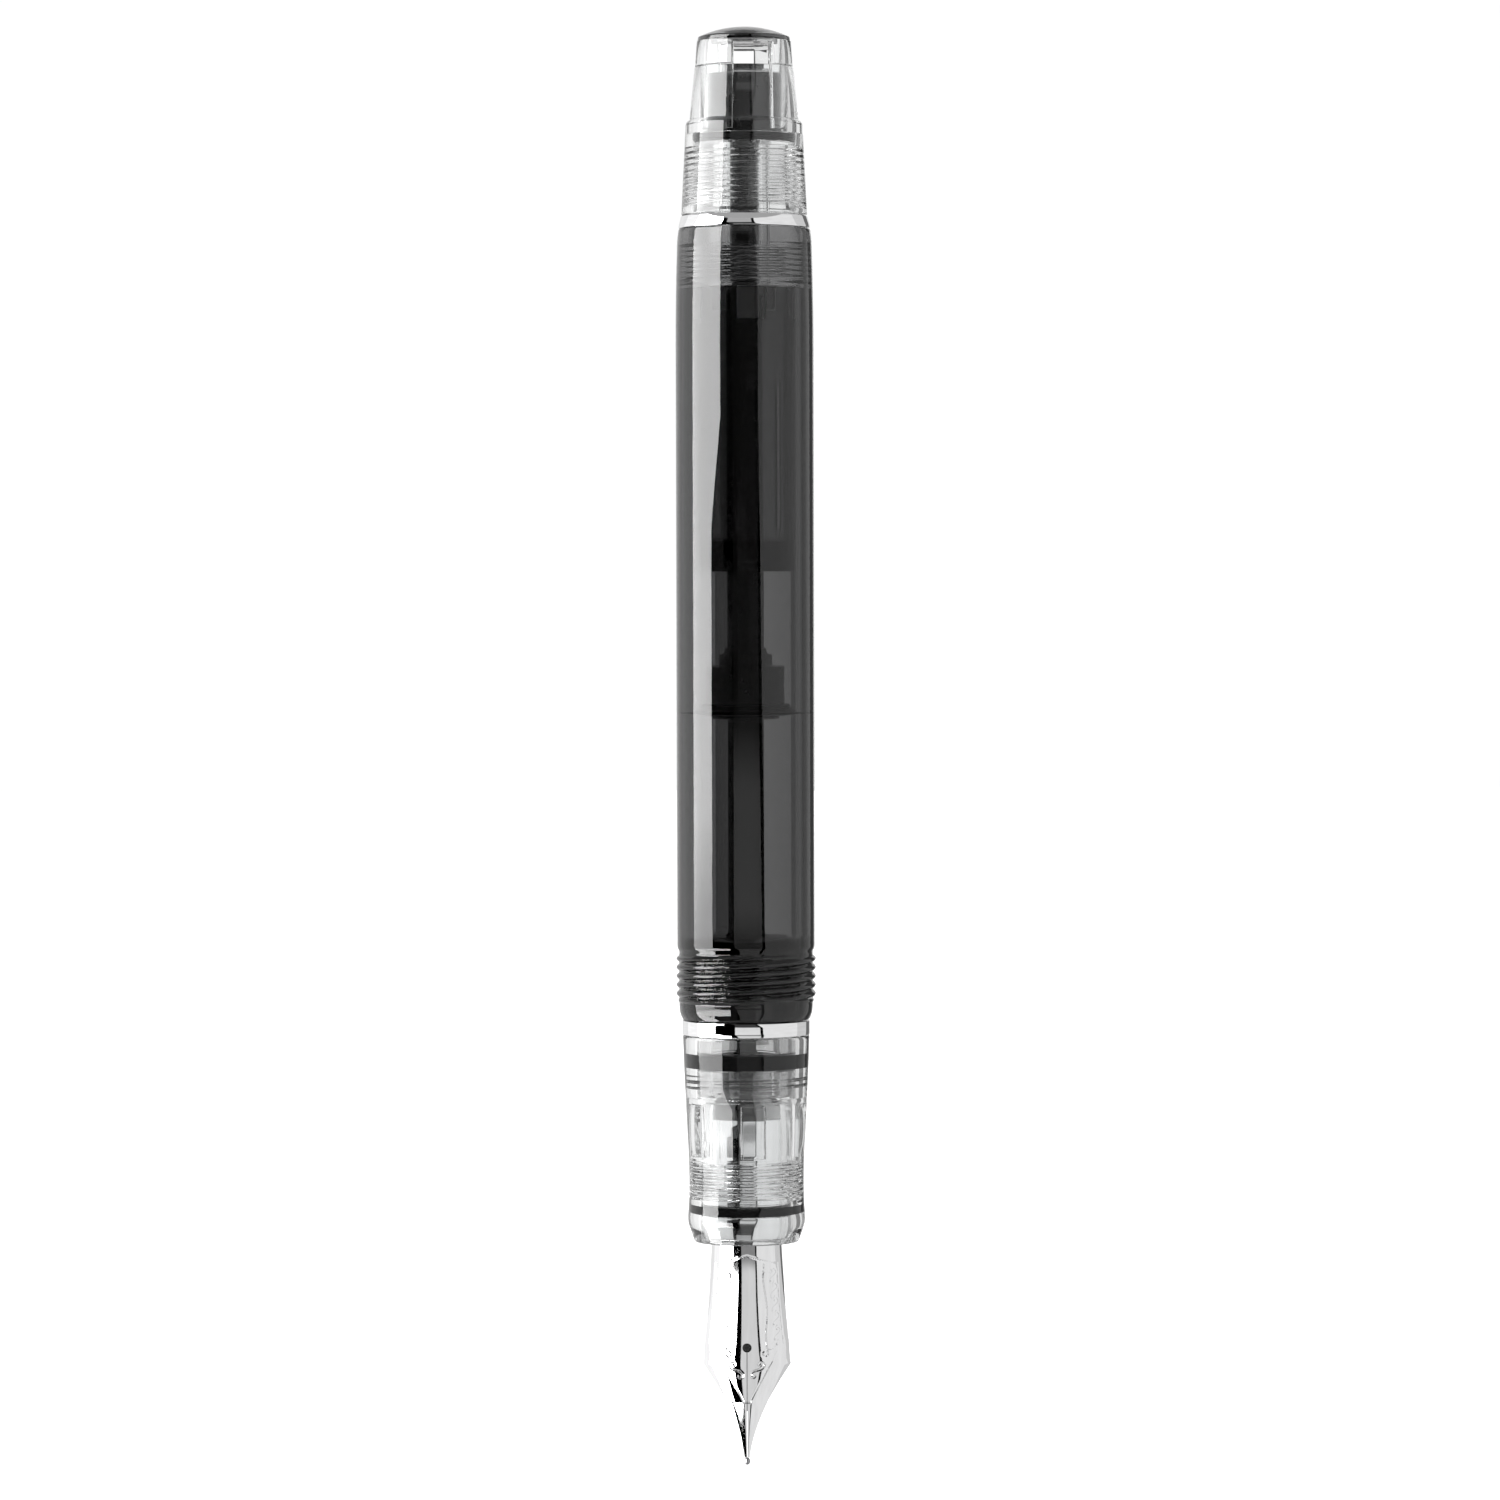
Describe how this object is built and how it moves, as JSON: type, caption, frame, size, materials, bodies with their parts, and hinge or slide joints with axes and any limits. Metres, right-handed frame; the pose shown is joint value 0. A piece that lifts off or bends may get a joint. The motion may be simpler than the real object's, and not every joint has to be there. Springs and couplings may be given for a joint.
{
  "type": "fountain pen",
  "caption": "Transparent piston-filling fountain pen without cap: smoke barrel, clear grip and twist knob, polished steel nib, silver trim rings and black seals.",
  "frame": {"origin": "on the pen's axis, level with the writing point of the nib, at the bottom centre of its box", "axes": "+Z along the pen's axis from the nib to the knob, -Y out of the nib's engraved face, +X to the right when that face is looked at with the nib down"},
  "size_m": [0.0132, 0.0132, 0.1356],
  "materials": {
    "smoke_acrylic": "smoke-grey transparent acrylic, polished",
    "clear_acrylic": "colourless transparent acrylic, polished",
    "silver_trim": "mirror-polished plating",
    "nib_steel": "polished stainless steel, engraved",
    "tipping_alloy": "hard alloy, satin",
    "black_plastic": "moulded, semi-gloss",
    "black_rubber": "moulded, satin"
  },
  "bodies": {
    "barrel": {"barrel": "smoke_acrylic", "front_trim_ring": "silver_trim", "rear_trim_ring": "silver_trim", "section_o_ring": "black_rubber", "grip_section": "clear_acrylic", "nib_housing": "clear_acrylic", "housing_o_ring": "black_rubber", "nib": "nib_steel", "nib_tipping": "tipping_alloy", "feed": "clear_acrylic", "guide_sleeve": "smoke_acrylic", "retaining_collar": "clear_acrylic"},
    "piston": {"piston_stem": "black_plastic", "piston_head": "black_plastic", "piston_seal": "black_rubber", "piston_plug": "black_plastic"},
    "washer": {"knob_washer": "black_rubber"},
    "knob": {"knob_shell": "clear_acrylic", "knob_insert": "clear_acrylic", "knob_finial": "smoke_acrylic", "spindle_head": "black_plastic", "spindle_screw": "black_plastic"}
  },
  "joints": [
    {"name": "knob_lift", "type": "slide", "parent": "barrel", "child": "washer", "axis": [0, 0, 1], "range_m": [0, 0.00166]},
    {"name": "knob_turn", "type": "hinge", "parent": "washer", "child": "knob", "pos_m": [0, 0, 0.125], "axis": [0, 0, 1], "range_deg": [0, 1044]},
    {"name": "piston_slide", "type": "slide", "parent": "barrel", "child": "piston", "axis": [0, 0, -1], "range_m": [0, 0.0204]}
  ],
  "couplings": [
    {"joint": "knob_turn", "follows": "piston_slide", "rad_per_m": 893.19},
    {"joint": "knob_lift", "follows": "piston_slide", "ratio": 0.08103}
  ]
}
